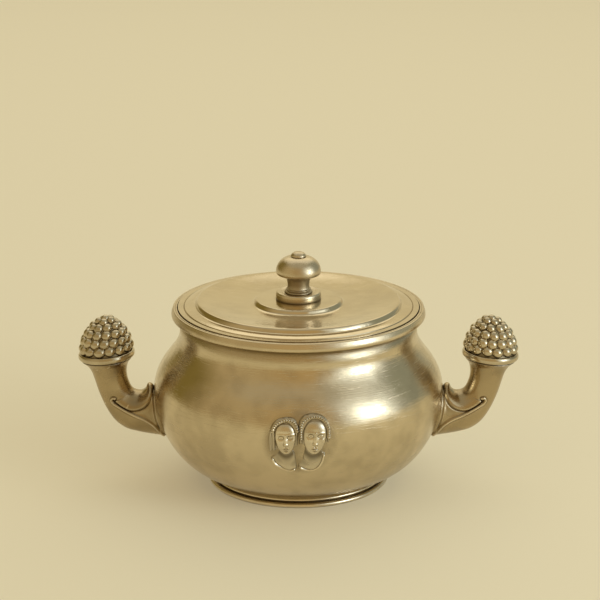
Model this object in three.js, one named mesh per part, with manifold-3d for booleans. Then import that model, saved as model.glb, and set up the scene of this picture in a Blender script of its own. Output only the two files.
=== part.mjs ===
// A lidded urn in pewter: a round-bellied bowl with a rim and a foot ring, a lid that lifts off
// with a turned knob, two horn handles with berry finials, and two small busts in relief.
// Millimetres, +Z up. The origin is on the table, on the axis of the bowl, and -Y is the front.
import * as THREE from 'three';
import { mergeVertices } from 'three/addons/utils/BufferGeometryUtils.js';
import Module from 'manifold-3d';

const wasm = await Module();
wasm.setup();

// Clearances
const SOLDER_GAP = 0.3; // between two pieces that are fixed to each other
const SCREW_PLAY = 0.3; // round a shank in its hole
const LID_PLAY = 1.0; // round the edge of the lid in the rim
const FLANGE_PLAY = 1.2; // round the locating ring in the neck

// Bowl
const BELLY_R = 94.1;
const BELLY_Z = 61.4;
const NECK_R = 76.8;
const NECK_BASE_Z = 101.7;
const NECK_TOP_Z = 111.5;
const BOTTOM_R = 54;
const BOTTOM_Z = 8.2;
const WALL = 2;
const NECK_SWEEP = 14; // how far the neck runs on into the shoulder
const SHOULDER_SWEEP = 20.8; // how far the belly runs up into the shoulder
const BELLY_SWEEP = 23.7; // how far the belly runs down
const BOTTOM_SWEEP = 24; // how far the bottom runs out
const BOTTOM_RISE = 1.3; // rise of the bottom over that run

// Rim and foot
const RIM_OVERHANG = 5.2;
const RIM_H = 5.2;
const RIM_ROUND = 1.3;
const RABBET_W = 1.5; // from the outside of the neck to the wall that the lid sits in
const RABBET_DEPTH = 2.6;
const FOOT_OVERHANG = 5;
const FOOT_W = 7;
const FOOT_BEAD_H = 2.8;
const FOOT_HOLLOW = 3; // depth of the hollow over the bead
const FOOT_FILLET_H = 1.3; // height of the fine upper bead

// Lid
const LID_BAND_W = 7.3; // thick edge that rests in the rim
const LID_RISE = 0.7; // the edge of the lid over the rim
const LID_SHEET = 1.6;
const GROOVE_INSET = 3.5;
const GROOVE_W = 0.8;
const GROOVE_DEPTH = 0.5;
const LAND_W = 11.3; // from the edge of the lid to the foot of the step
const LAND_RISE = 0.9;
const STEP_W = 2;
const STEP_H = 3.2;
const DISH_DEPTH = 2.1;
const BOSS_R = 27.4;
const BOSS_H = 2.3;
const FLANGE_T = 1.6;
const FLANGE_H = 7.4;

// Knob
const KNOB_BASE_R = 14.6;
const KNOB_BASE_H = 4;
const COLLAR_R = 8.6;
const COLLAR_H = 4;
const STEM_R = 6.8;
const STEM_H = 5.4;
const STEM_TOP_R = 8.3;
const CAP_R = 14.5;
const CAP_SKIRT_H = 4.5;
const CAP_DOME_H = 10;
const BUTTON_R = 5.2;
const BUTTON_H = 3;
const SHANK_R = 2;
const WASHER_R = 6;
const WASHER_T = 1;
const NUT_R = 4.6;
const NUT_H = 3.2;
const SHANK_END = 1; // thread past the nut

// Handles, in the plane through both of them. The root of the horn is level with a point below
// the widest line of the belly. Each station lies at a share of the reach and of the rise from
// there, and its radius is a share of the root's.
const HANDLE_REACH = 30.1; // from the belly to the middle of the finial
const HANDLE_DROP = 15.4; // from the widest line of the belly down to the root
const HANDLE_RISE = 32; // from the root up to the seat of the finial
const ROOT_R = 17;
const HORN_STATIONS = [
  { reach: -0.4, rise: 0, radius: 1.08 },
  { reach: 0, rise: 0, radius: 1 },
  { reach: 0.355, rise: 0, radius: 0.794 },
  { reach: 0.66, rise: 0.144, radius: 0.676 },
  { reach: 0.787, rise: 0.312, radius: 0.624 },
  { reach: 0.897, rise: 0.562, radius: 0.594 },
  { reach: 0.953, rise: 0.781, radius: 0.624 },
  { reach: 1.007, rise: 1, radius: 0.741 },
  { reach: 1.033, rise: 1.156, radius: 0.847 },
];
const HORN_WIDTH_SHARE = 0.86; // width of the horn over its height
const HEM_TIP_R = 2.5; // curled tip of the horn's hem, beside the bowl
const HEM_TIP_OUT = 2.2;
const HEM_TIP_UP = 0.5;
const LEAF_STEP = 0.5; // from the hem of the horn down to the leaf under it
const LEAF_T = 1.3;
const LEAF_HEM = [[0.113, 0.297], [0.223, 0.162], [0.359, 0.094], [0.495, 0.084],
  [0.631, 0.134], [0.804, 0.237], [0.897, 0.325]]; // shares of the reach and the rise
const LEAF_RIDGE = [[0.797, 0.175], [0.578, 0.072], [0.365, -0.044], [0.169, -0.159],
  [0.017, -0.294], [-0.066, -0.55]];
const LEAF_INNER_SHARE = -0.5; // past the first station, so that the leaf is as long as the horn
const LEAF_TOP_SHARE = 0.38;
const LEAF_UNDER_SHARE = 1.2; // of the root's radius, so that the leaf closes under the horn
const SHARPEST_COSINE = 0.3; // of half the turn at a corner, so that a gap round it stays short
const FINIAL_LEAN = 4.5; // degrees, outwards
const SAUCER_R = 18.4;
const SAUCER_NECK_R = 12.9;
const SAUCER_CONE_H = 4.2;
const SAUCER_EDGE_H = 4;
const CLUSTER_R = 18;
const CLUSTER_H = 24.2;
const CLUSTER_SHOULDER = 2.4; // a larger power keeps it wide for longer
const CLUSTER_POINT = 0.67; // a larger power makes its top more pointed
const CLUSTER_SKEW = 0.13; // inwards, for each millimetre of height, so that it stands upright
const BERRY_ROWS = 6;
const BERRIES_PER_ROW = 12;
const BERRY_DEPTH = 2.2; // of the valleys between the berries
const FINIAL_STUD_R = 2.4;
const FINIAL_STUD_GRIP = 9; // into the horn, and into the finial

// Busts, placed from the middle of the front and from the widest line of the belly
const BUSTS = {
  left: { side: -8.9, up: -0.4, width: 17.2, height: 25, lean: -3, hood: true },
  right: { side: 9.8, up: 0.6, width: 18.4, height: 27.6, lean: 3, hood: false },
};
const RELIEF_RISE = 2.6; // of a face over the belly, without its nose
const NOSE_DEPTH = 2.2;
const BROW_DEPTH = 2;
const MOUTH_DEPTH = 1.6;
const HAIR_T = 1.7;
const NECK_T = 1.5;
const BUST_COLLAR_T = 1;
const COLLAR_DROP = 23; // lower edge of each bust, below the widest line of the belly

// How fine the round pieces are
const LARGE_SIDES = 36;
const MEDIUM_SIDES = 28;
const SMALL_SIDES = 20;
const HORN_SIDES = 14;
const PLAIN_SIDES = 12;
const HORN_STEPS = 12;

// Derived sizes
const NECK_INNER_R = NECK_R - WALL;
const RIM_R = NECK_R + RIM_OVERHANG;
const RIM_BASE_Z = NECK_TOP_Z + SOLDER_GAP;
const RIM_TOP_Z = RIM_BASE_Z + RIM_H;
const RABBET_R = NECK_R + RABBET_W;
const LEDGE_Z = RIM_TOP_Z - RABBET_DEPTH;
const FOOT_TOP_Z = BOTTOM_Z - SOLDER_GAP;
const LID_R = RABBET_R - LID_PLAY;
const LID_BASE_Z = LEDGE_Z + SOLDER_GAP;
const LID_EDGE_Z = RIM_TOP_Z + LID_RISE;
const LAND_Z = LID_EDGE_Z + LAND_RISE;
const STEP_TOP_Z = LAND_Z + STEP_H;
const DISH_Z = STEP_TOP_Z - DISH_DEPTH;
const BOSS_TOP_Z = DISH_Z + BOSS_H;
const HOLE_R = SHANK_R + SCREW_PLAY;
const LEAF_DEPTH = LEAF_STEP + LEAF_T;

// Turned pieces: rings and discs about Z, from a profile of radius and height pairs that runs
// up the outside and down the inside.
function turned(profile, sides) {
  const points = profile.map(([radius, height]) => new THREE.Vector2(radius, height));
  return new THREE.LatheGeometry(points, sides).rotateX(Math.PI / 2);
}

function ring(profile, sides) {
  return turned([...profile, profile[0]], sides);
}

// Joins and cuts
function solidOf(geometry) {
  const bare = geometry.clone();
  bare.deleteAttribute('normal');
  bare.deleteAttribute('uv');
  const welded = mergeVertices(bare, 1e-4);
  const corners = welded.index.array;
  const faces = [];
  for (let i = 0; i < corners.length; i += 3) {
    const [a, b, c] = [corners[i], corners[i + 1], corners[i + 2]];
    if (a !== b && b !== c && c !== a) faces.push(a, b, c);
  }
  return new wasm.Manifold(new wasm.Mesh({
    numProp: 3,
    vertProperties: Float32Array.from(welded.attributes.position.array),
    triVerts: Uint32Array.from(faces),
  }));
}

function geometryOf(solid) {
  const mesh = solid.getMesh();
  const geometry = new THREE.BufferGeometry();
  geometry.setAttribute('position', new THREE.BufferAttribute(mesh.vertProperties, 3));
  geometry.setIndex(new THREE.BufferAttribute(mesh.triVerts, 1));
  geometry.computeVertexNormals();
  return geometry;
}

// Bowl
function bowlOutline(offset) {
  const lower = new THREE.CubicBezierCurve(
    new THREE.Vector2(BOTTOM_R, BOTTOM_Z),
    new THREE.Vector2(BOTTOM_R + BOTTOM_SWEEP, BOTTOM_Z + BOTTOM_RISE),
    new THREE.Vector2(BELLY_R, BELLY_Z - BELLY_SWEEP),
    new THREE.Vector2(BELLY_R, BELLY_Z),
  );
  const upper = new THREE.CubicBezierCurve(
    new THREE.Vector2(BELLY_R, BELLY_Z),
    new THREE.Vector2(BELLY_R, BELLY_Z + SHOULDER_SWEEP),
    new THREE.Vector2(NECK_R, NECK_BASE_Z - NECK_SWEEP),
    new THREE.Vector2(NECK_R, NECK_BASE_Z),
  );
  const outline = [[0, BOTTOM_Z - offset]];
  const along = (curve, steps, first) => {
    for (let i = first; i <= steps; i += 1) {
      const point = curve.getPoint(i / steps);
      const way = curve.getTangent(i / steps);
      outline.push([point.x + way.y * offset, point.y - way.x * offset]);
    }
  };
  along(lower, 8, 0);
  along(upper, 6, 1);
  outline.push([NECK_R + offset, NECK_TOP_Z]);
  return outline;
}

function bowlGeometry() {
  return turned([...bowlOutline(0), ...bowlOutline(-WALL).reverse()], LARGE_SIDES);
}

// What is soldered on the bowl is cut to its outside, with the solder gap.
const bowlClearance = solidOf(turned([...bowlOutline(SOLDER_GAP), [0, NECK_TOP_Z]], LARGE_SIDES));

// Rim, foot
function rimGeometry() {
  const corner = [];
  for (let i = 0; i <= 3; i += 1) {
    const turn = (i / 3) * (Math.PI / 2);
    corner.push([
      RIM_R - RIM_ROUND * (1 - Math.cos(turn)),
      RIM_TOP_Z - RIM_ROUND * (1 - Math.sin(turn)),
    ]);
  }
  return ring([
    [NECK_INNER_R, RIM_BASE_Z],
    [RIM_R - RIM_ROUND, RIM_BASE_Z],
    [RIM_R, RIM_BASE_Z + RIM_ROUND / 2],
    ...corner,
    [RABBET_R, RIM_TOP_Z],
    [RABBET_R, LEDGE_Z],
    [NECK_INNER_R, LEDGE_Z],
  ], LARGE_SIDES);
}

function footGeometry() {
  const outer = BOTTOM_R + FOOT_OVERHANG;
  const inner = outer - FOOT_W;
  const waist = outer - FOOT_HOLLOW;
  const waistTop = FOOT_TOP_Z - 2 * FOOT_FILLET_H;
  const beadTop = FOOT_TOP_Z - FOOT_FILLET_H;
  return ring([
    [inner, 0],
    [outer - FOOT_BEAD_H / 3, 0],
    [outer, FOOT_BEAD_H / 2],
    [outer - FOOT_BEAD_H / 3, FOOT_BEAD_H],
    [waist, FOOT_BEAD_H + FOOT_BEAD_H / 6],
    [waist, waistTop],
    [waist + FOOT_HOLLOW / 3, (waistTop + beadTop) / 2],
    [waist, beadTop],
    [waist - FOOT_HOLLOW / 3, FOOT_TOP_Z],
    [inner, FOOT_TOP_Z],
  ], LARGE_SIDES);
}

// Lid
function lidGeometry() {
  const grooveR = LID_R - GROOVE_INSET;
  const stepR = LID_R - LAND_W;
  const plateauR = stepR - STEP_W;
  const bevel = GROOVE_W / 2;
  return ring([
    [LID_R - LID_BAND_W, LID_BASE_Z],
    [LID_R - bevel, LID_BASE_Z],
    [LID_R, LID_BASE_Z + bevel],
    [LID_R, LID_EDGE_Z - bevel],
    [LID_R - bevel, LID_EDGE_Z],
    [grooveR + GROOVE_W / 2, LID_EDGE_Z],
    [grooveR, LID_EDGE_Z - GROOVE_DEPTH],
    [grooveR - GROOVE_W / 2, LID_EDGE_Z + LAND_RISE / 3],
    [stepR, LAND_Z],
    [stepR - STEP_W * 0.15, LAND_Z + STEP_H * 0.55],
    [stepR - STEP_W * 0.5, LAND_Z + STEP_H * 0.87],
    [plateauR, STEP_TOP_Z],
    [BOSS_R + BOSS_H / 2, DISH_Z],
    [BOSS_R, DISH_Z + BOSS_H / 3],
    [BOSS_R - BOSS_H / 4, BOSS_TOP_Z],
    [HOLE_R, BOSS_TOP_Z],
    [HOLE_R, BOSS_TOP_Z - LID_SHEET],
    [BOSS_R - BOSS_H, BOSS_TOP_Z - LID_SHEET],
    [BOSS_R, DISH_Z - LID_SHEET],
    [plateauR - LID_SHEET / 2, STEP_TOP_Z - LID_SHEET],
    [stepR - LID_SHEET, LAND_Z - LID_SHEET],
    [LID_R - LID_BAND_W, LAND_Z - LID_SHEET],
  ], LARGE_SIDES);
}

function flangeGeometry() {
  const outer = NECK_INNER_R - FLANGE_PLAY;
  const top = LID_BASE_Z - SOLDER_GAP;
  return ring([
    [outer - FLANGE_T, top - FLANGE_H],
    [outer, top - FLANGE_H],
    [outer, top],
    [outer - FLANGE_T, top],
  ], LARGE_SIDES);
}

// Knob, each piece standing on the one below it
const knobBaseZ = BOSS_TOP_Z + SOLDER_GAP;
const spoolZ = knobBaseZ + KNOB_BASE_H + SOLDER_GAP;
const capZ = spoolZ + COLLAR_H + STEM_H + SOLDER_GAP;
const domeZ = capZ + CAP_SKIRT_H;
const buttonSeatR = BUTTON_R + SOLDER_GAP;
const capTopZ = domeZ + CAP_DOME_H * Math.sqrt(1 - (buttonSeatR / CAP_R) ** 2);
const buttonZ = capTopZ + SOLDER_GAP;
const washerZ = BOSS_TOP_Z - LID_SHEET - SOLDER_GAP - WASHER_T;
const nutZ = washerZ - SOLDER_GAP - NUT_H;

function knobBaseGeometry() {
  return ring([
    [HOLE_R, knobBaseZ],
    [KNOB_BASE_R * 0.98, knobBaseZ],
    [KNOB_BASE_R, knobBaseZ + KNOB_BASE_H * 0.4],
    [KNOB_BASE_R * 0.96, knobBaseZ + KNOB_BASE_H * 0.75],
    [KNOB_BASE_R * 0.88, knobBaseZ + KNOB_BASE_H],
    [HOLE_R, knobBaseZ + KNOB_BASE_H],
  ], SMALL_SIDES);
}

function knobSpoolGeometry() {
  const collarTop = spoolZ + COLLAR_H;
  const stemTop = collarTop + STEM_H;
  return ring([
    [HOLE_R, spoolZ],
    [COLLAR_R, spoolZ],
    [COLLAR_R, spoolZ + COLLAR_H * 0.35],
    [COLLAR_R * 0.9, spoolZ + COLLAR_H * 0.45],
    [COLLAR_R * 0.9, spoolZ + COLLAR_H * 0.7],
    [STEM_R, collarTop],
    [STEM_R + (STEM_TOP_R - STEM_R) * 0.2, collarTop + STEM_H * 0.6],
    [STEM_TOP_R, stemTop],
    [HOLE_R, stemTop],
  ], SMALL_SIDES);
}

function knobCapGeometry() {
  const dome = [];
  for (let i = 0; i <= 5; i += 1) {
    const radius = CAP_R + (buttonSeatR - CAP_R) * (i / 5) ** 1.6;
    dome.push([radius, domeZ + CAP_DOME_H * Math.sqrt(1 - (radius / CAP_R) ** 2)]);
  }
  return ring([
    [HOLE_R, capZ],
    [STEM_TOP_R + SOLDER_GAP, capZ],
    [CAP_R * 0.94, capZ + CAP_SKIRT_H * 0.6],
    ...dome,
    [HOLE_R, capTopZ],
  ], SMALL_SIDES);
}

function knobScrewGeometry() {
  const end = nutZ - SHANK_END;
  const button = [];
  for (let i = 0; i <= 4; i += 1) {
    const turn = (i / 4) * (Math.PI / 2);
    button.push([BUTTON_R * Math.cos(turn), buttonZ + BUTTON_H * Math.sin(turn)]);
  }
  button[button.length - 1][0] = 0;
  return turned([[0, end], [SHANK_R, end], [SHANK_R, buttonZ], ...button], SMALL_SIDES);
}

function washerGeometry() {
  return ring([
    [HOLE_R, washerZ],
    [WASHER_R, washerZ],
    [WASHER_R, washerZ + WASHER_T],
    [HOLE_R, washerZ + WASHER_T],
  ], PLAIN_SIDES);
}

function nutGeometry() {
  const hexagon = new THREE.Shape();
  for (let i = 0; i < 6; i += 1) {
    const turn = (i / 6) * 2 * Math.PI;
    hexagon[i ? 'lineTo' : 'moveTo'](NUT_R * Math.cos(turn), NUT_R * Math.sin(turn));
  }
  hexagon.closePath();
  hexagon.holes.push(new THREE.Path().absarc(0, 0, HOLE_R, 0, 2 * Math.PI, true));
  const options = { depth: NUT_H, bevelEnabled: false, curveSegments: PLAIN_SIDES };
  return new THREE.ExtrudeGeometry(hexagon, options).translate(0, 0, nutZ);
}

// Horns: a turned spindle of varying radius, bent along the stations of the handle
function onHandle(reach, rise) {
  return new THREE.Vector2(
    BELLY_R + reach * HANDLE_REACH,
    BELLY_Z - HANDLE_DROP + rise * HANDLE_RISE,
  );
}

const hornPath = new THREE.SplineCurve(
  HORN_STATIONS.map(({ reach, rise }) => onHandle(reach, rise)),
);
const hornRadii = new THREE.SplineCurve(
  HORN_STATIONS.map(({ radius }, i) => new THREE.Vector2(i, radius * ROOT_R)),
);

function hornSpindle(extra) {
  const profile = [[0, 0]];
  for (let i = 0; i <= HORN_STEPS; i += 1) {
    const share = i / HORN_STEPS;
    profile.push([hornRadii.getPoint(share).y + extra, share]);
  }
  profile.push([0, 1]);
  const spindle = turned(profile, HORN_SIDES);
  const place = spindle.attributes.position;
  for (let i = 0; i < place.count; i += 1) {
    const along = THREE.MathUtils.clamp(place.getZ(i), 0, 1);
    const middle = hornPath.getPoint(along);
    const way = hornPath.getTangent(along);
    const inward = place.getX(i);
    place.setXYZ(
      i,
      middle.x - way.y * inward,
      -place.getY(i) * HORN_WIDTH_SHARE,
      middle.y + way.x * inward,
    );
  }
  return solidOf(spindle);
}

// The finial stands in its own frame on the seat of the saucer
function toFinial(geometry) {
  return geometry
    .rotateY(THREE.MathUtils.degToRad(FINIAL_LEAN))
    .translate(BELLY_R + HANDLE_REACH, 0, BELLY_Z - HANDLE_DROP + HANDLE_RISE);
}

const saucerTop = SAUCER_CONE_H + SAUCER_EDGE_H;
const clusterBase = saucerTop + SOLDER_GAP;
const studHoleR = FINIAL_STUD_R + SCREW_PLAY;

function post(radius, bottom, top) {
  return turned([[0, bottom], [radius, bottom], [radius, top], [0, top]], PLAIN_SIDES);
}

// Leaf at the root of the horn, seen from the side: the hem of the horn is its upper edge, and a
// ridge that comes back from the pointed end of the hem to the bowl is its lower one.
function leafOutline() {
  const curve = (shares) => new THREE.SplineCurve(
    shares.map(([reach, rise]) => onHandle(reach, rise)),
  ).getPoints(2 * shares.length);
  const [hemStart, hemEnd] = [LEAF_HEM[0], LEAF_HEM[LEAF_HEM.length - 1]];
  const inner = onHandle(LEAF_INNER_SHARE, 0);
  return [
    onHandle(LEAF_INNER_SHARE, LEAF_TOP_SHARE),
    onHandle(hemStart[0], LEAF_TOP_SHARE),
    ...curve(LEAF_HEM),
    ...curve([hemEnd, ...LEAF_RIDGE]).slice(1),
    inner.set(inner.x, inner.y - LEAF_UNDER_SHARE * ROOT_R),
  ];
}

// Moves every edge of a closed outline outwards by the same amount. The outline runs clockwise.
function widened(points, extra) {
  const normal = (from, to) => {
    const way = to.clone().sub(from).normalize();
    return new THREE.Vector2(-way.y, way.x);
  };
  return points.map((point, i) => {
    const before = normal(points[(i + points.length - 1) % points.length], point);
    const after = normal(point, points[(i + 1) % points.length]);
    const between = before.clone().add(after).normalize();
    const reach = extra / Math.max(between.dot(after), SHARPEST_COSINE);
    return point.clone().addScaledVector(between, reach);
  });
}

function leafSlab(extra) {
  const leaf = new THREE.Shape(widened(leafOutline(), extra));
  const halfWidth = 2 * ROOT_R;
  const options = { depth: 2 * halfWidth, bevelEnabled: false };
  return solidOf(
    new THREE.ExtrudeGeometry(leaf, options).rotateX(Math.PI / 2).translate(0, halfWidth, 0),
  );
}

function hornGeometry() {
  const above = toFinial(post(2 * SAUCER_R, -SOLDER_GAP, 2 * SAUCER_R));
  const bore = toFinial(post(studHoleR, -FINIAL_STUD_GRIP - SCREW_PLAY, 0));
  const tip = new THREE.SphereGeometry(HEM_TIP_R, 8, 6)
    .scale(1, 1.5, 1)
    .translate(BELLY_R + HEM_TIP_OUT, 0, BELLY_Z + HEM_TIP_UP);
  return geometryOf(
    hornSpindle(0)
      .add(solidOf(tip))
      .subtract(leafSlab(SOLDER_GAP))
      .add(hornSpindle(-LEAF_DEPTH - SOLDER_GAP))
      .subtract(bowlClearance)
      .subtract(solidOf(above))
      .subtract(solidOf(bore)),
  );
}

function leafGeometry() {
  return geometryOf(
    hornSpindle(-LEAF_STEP)
      .intersect(leafSlab(0))
      .subtract(hornSpindle(-LEAF_DEPTH))
      .subtract(bowlClearance),
  );
}

function saucerGeometry() {
  return toFinial(ring([
    [studHoleR, 0],
    [SAUCER_NECK_R, 0],
    [SAUCER_R - SAUCER_EDGE_H / 6, SAUCER_CONE_H],
    [SAUCER_R, SAUCER_CONE_H + SAUCER_EDGE_H * 0.3],
    [SAUCER_R, SAUCER_CONE_H + SAUCER_EDGE_H * 0.7],
    [SAUCER_R - SAUCER_EDGE_H / 4, saucerTop],
    [studHoleR, saucerTop],
  ], MEDIUM_SIDES));
}

// Envelope of the berry cluster: a blunt dome, as a radius for a height over the saucer
function clusterRadius(height, radius, total) {
  const share = Math.min(1, height / total);
  return radius * (1 - share ** CLUSTER_SHOULDER) ** CLUSTER_POINT;
}

// The berries stand in staggered rows. Each one is four columns wide and three bands high, so
// that its edge falls on a column and between two bands.
function clusterGeometry() {
  const bands = 3 * BERRY_ROWS;
  const profile = [[0, clusterBase]];
  for (let band = 0; band < bands; band += 1) {
    const height = CLUSTER_H * (band / bands) ** 0.9;
    profile.push([clusterRadius(height, CLUSTER_R, CLUSTER_H), clusterBase + height]);
  }
  profile.push([0, clusterBase + CLUSTER_H]);
  const cluster = turned(profile, 4 * BERRIES_PER_ROW);
  const place = cluster.attributes.position;
  const rings = profile.length;
  for (let i = 0; i < place.count; i += 1) {
    const column = Math.floor(i / rings);
    const band = (i % rings) - 1;
    if (band >= 0 && band < bands) {
      const row = Math.floor(band / 3);
      const across = Math.sin(((column + 2 * (row % 2)) / 4) * Math.PI) ** 2;
      const swell = band % 3 ? across : 0;
      const radius = Math.hypot(place.getX(i), place.getY(i));
      const depth = Math.min(BERRY_DEPTH, radius / 4) * (1 - swell);
      const share = 1 - depth / radius;
      place.setX(i, place.getX(i) * share);
      place.setY(i, place.getY(i) * share);
    }
    place.setX(i, place.getX(i) - CLUSTER_SKEW * (place.getZ(i) - clusterBase));
  }
  const bore = post(studHoleR, 0, clusterBase + FINIAL_STUD_GRIP + SCREW_PLAY);
  return toFinial(geometryOf(solidOf(cluster).subtract(solidOf(bore))));
}

function studGeometry() {
  return toFinial(post(FINIAL_STUD_R, -FINIAL_STUD_GRIP, clusterBase + FINIAL_STUD_GRIP));
}

// Busts: layers that follow the belly, with a head in the round on them. Its face is plain and
// calm, on the usual proportions.
function layer(width, height, side, z, thickness) {
  const plug = new THREE.CylinderGeometry(0.5, 0.5, BELLY_R / 2, PLAIN_SIDES)
    .scale(width, 1, height)
    .translate(side, -BELLY_R, z);
  const skin = turned([...bowlOutline(SOLDER_GAP + thickness), [0, NECK_TOP_Z]], LARGE_SIDES);
  return solidOf(plug).intersect(solidOf(skin));
}

function ball(width, depth, height) {
  return new THREE.SphereGeometry(0.5, 10, 6).rotateX(Math.PI / 2).scale(width, depth, height);
}

function bustSolid({ side, up, width, height, lean, hood }) {
  const ground = -Math.sqrt(BELLY_R ** 2 - side ** 2);
  const front = ground - RELIEF_RISE;
  const faceW = width * 0.72;
  const faceH = height * 0.8;
  const faceUp = -height * 0.05;
  const features = [
    ball(faceW, 2 * RELIEF_RISE, faceH).translate(0, ground, faceUp),
    ball(faceW * 0.17, NOSE_DEPTH, faceH * 0.3).translate(0, front, faceUp - faceH * 0.06),
    ball(faceW * 0.64, BROW_DEPTH, faceH * 0.12)
      .translate(0, front + BROW_DEPTH * 0.45, faceUp + faceH * 0.14),
    ball(faceW * 0.36, MOUTH_DEPTH, faceH * 0.1)
      .translate(0, front + MOUTH_DEPTH * 0.45, faceUp - faceH * 0.3),
  ];
  const turn = THREE.MathUtils.degToRad(lean);
  const parts = features.map((piece) => (
    solidOf(piece.rotateY(turn).translate(side, 0, BELLY_Z + up))
  ));
  parts.push(layer(width, height, side, BELLY_Z + up, HAIR_T));
  if (hood) {
    parts.push(layer(width * 0.5, height, side - width * 0.25, BELLY_Z + up - height * 0.1, HAIR_T));
  }
  const collarH = COLLAR_DROP * 0.8;
  parts.push(layer(width * 0.55, COLLAR_DROP, side, BELLY_Z - COLLAR_DROP * 0.5, NECK_T));
  parts.push(layer(width * 0.92, collarH, side, BELLY_Z - COLLAR_DROP + collarH / 2, BUST_COLLAR_T));
  return parts.reduce((whole, piece) => whole.add(piece)).subtract(bowlClearance);
}

// The two castings meet along a line between the heads.
function bustGeometries() {
  const { left, right } = BUSTS;
  const middle = (left.side + left.width / 2 + right.side - right.width / 2) / 2;
  const beside = (sign) => {
    const slab = new THREE.BoxGeometry(BELLY_R, 2 * BELLY_R, 2 * BELLY_R);
    const shift = sign * (BELLY_R / 2 + SOLDER_GAP / 2);
    return solidOf(slab.translate(middle + shift, -BELLY_R, BELLY_Z));
  };
  return {
    left: geometryOf(bustSolid(left).intersect(beside(-1))),
    right: geometryOf(bustSolid(right).intersect(beside(1))),
  };
}

// Finishes
const pewter = new THREE.MeshStandardMaterial({ color: 0xa39a86, roughness: 0.34, metalness: 1 });
const darkPewter = new THREE.MeshStandardMaterial({ color: 0x857c69, roughness: 0.45, metalness: 1 });

// Assembly
const urn = new THREE.Group();
const pot = new THREE.Group();
const lid = new THREE.Group();
urn.add(pot, lid);

function put(group, name, geometry, material) {
  const mesh = new THREE.Mesh(geometry, material);
  mesh.name = name;
  group.add(mesh);
  return mesh;
}

put(pot, 'bowl', bowlGeometry(), pewter);
put(pot, 'rim_band', rimGeometry(), pewter);
put(pot, 'foot_ring', footGeometry(), pewter);
const busts = bustGeometries();
put(pot, 'left_bust_relief', busts.left, darkPewter);
put(pot, 'right_bust_relief', busts.right, darkPewter);

const handlePieces = {
  handle_horn: [hornGeometry(), pewter],
  leaf_sheath: [leafGeometry(), pewter],
  saucer: [saucerGeometry(), pewter],
  berry_finial: [clusterGeometry(), darkPewter],
  finial_stud: [studGeometry(), darkPewter],
};
for (const [side, turn] of [['right', 0], ['left', Math.PI]]) {
  const handle = new THREE.Group();
  handle.rotation.z = turn;
  pot.add(handle);
  for (const [name, [geometry, material]] of Object.entries(handlePieces)) {
    put(handle, `${side}_${name}`, geometry.clone(), material);
  }
}

put(lid, 'lid_plate', lidGeometry(), pewter);
put(lid, 'lid_flange', flangeGeometry(), pewter);
put(lid, 'knob_base', knobBaseGeometry(), pewter);
put(lid, 'knob_spool', knobSpoolGeometry(), pewter);
put(lid, 'knob_cap', knobCapGeometry(), pewter);
put(lid, 'knob_screw', knobScrewGeometry(), pewter);
put(lid, 'knob_washer', washerGeometry(), darkPewter);
put(lid, 'knob_nut', nutGeometry(), darkPewter);

export default urn;
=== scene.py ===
import bisect
import math
import random

import bmesh
import bpy
import numpy as np
from mathutils import Matrix, Vector
from mathutils.geometry import interpolate_bezier


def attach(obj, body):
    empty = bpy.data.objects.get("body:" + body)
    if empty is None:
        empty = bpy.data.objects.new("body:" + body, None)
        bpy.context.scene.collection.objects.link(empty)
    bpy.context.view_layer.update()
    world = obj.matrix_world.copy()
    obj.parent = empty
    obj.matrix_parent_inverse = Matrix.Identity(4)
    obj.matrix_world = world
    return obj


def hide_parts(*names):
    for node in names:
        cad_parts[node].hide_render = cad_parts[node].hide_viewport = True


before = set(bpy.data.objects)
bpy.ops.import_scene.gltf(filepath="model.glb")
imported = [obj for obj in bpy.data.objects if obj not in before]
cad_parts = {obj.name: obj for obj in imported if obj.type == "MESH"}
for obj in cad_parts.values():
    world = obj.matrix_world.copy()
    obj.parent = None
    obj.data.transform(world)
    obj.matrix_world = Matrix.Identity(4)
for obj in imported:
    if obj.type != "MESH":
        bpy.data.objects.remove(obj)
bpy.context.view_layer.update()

# A lidded pewter urn. Pieces are modelled in millimetres, in the part's own frame, and are scaled
# to metres when they are finished. -Y is the front.
MM = 0.001

# Bowl
BELLY_R = 94.1
BELLY_Z = 61.4
NECK_R = 76.8
NECK_BASE_Z = 101.7
NECK_TOP_Z = 111.5
BOTTOM_R = 54
BOTTOM_Z = 8.2
WALL = 2
SOLDER_DEPTH = 1  # how far a soldered piece sinks into the wall, so that no gap shows
JOINT_LAP = 0.1  # how far a piece reaches into the one that it stands on
NECK_SHADE = 0.8
NECK_SHADE_Z = 99
BASE_SHADE = 0.5
BASE_SHADE_Z = 14

# Rim and foot
RIM_R = 82
RIM_TOP_Z = 117
RABBET_R = 78.3
LEDGE_Z = 114.4
RIM_LINE_R = 79.5
FOOT_OUTER_R = 59
FOOT_INNER_R = 52

# Lid
LID_R = 77.8
LID_BASE_Z = 114.7
LID_EDGE_Z = 117.7
LID_BAND_R = 70
GROOVE_R = 73.8
GROOVE_W = 0.8
STEP_R = 66
LAND_Z = 118.6
PLATEAU_R = 64
PLATEAU_Z = 121.8
DISH_Z = 118.8
BOSS_R = 27.4
BOSS_Z = 122
SHEET = 1.6
FLANGE_R = 73.6
FLANGE_T = 1.6
FLANGE_BASE_Z = 107

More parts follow.
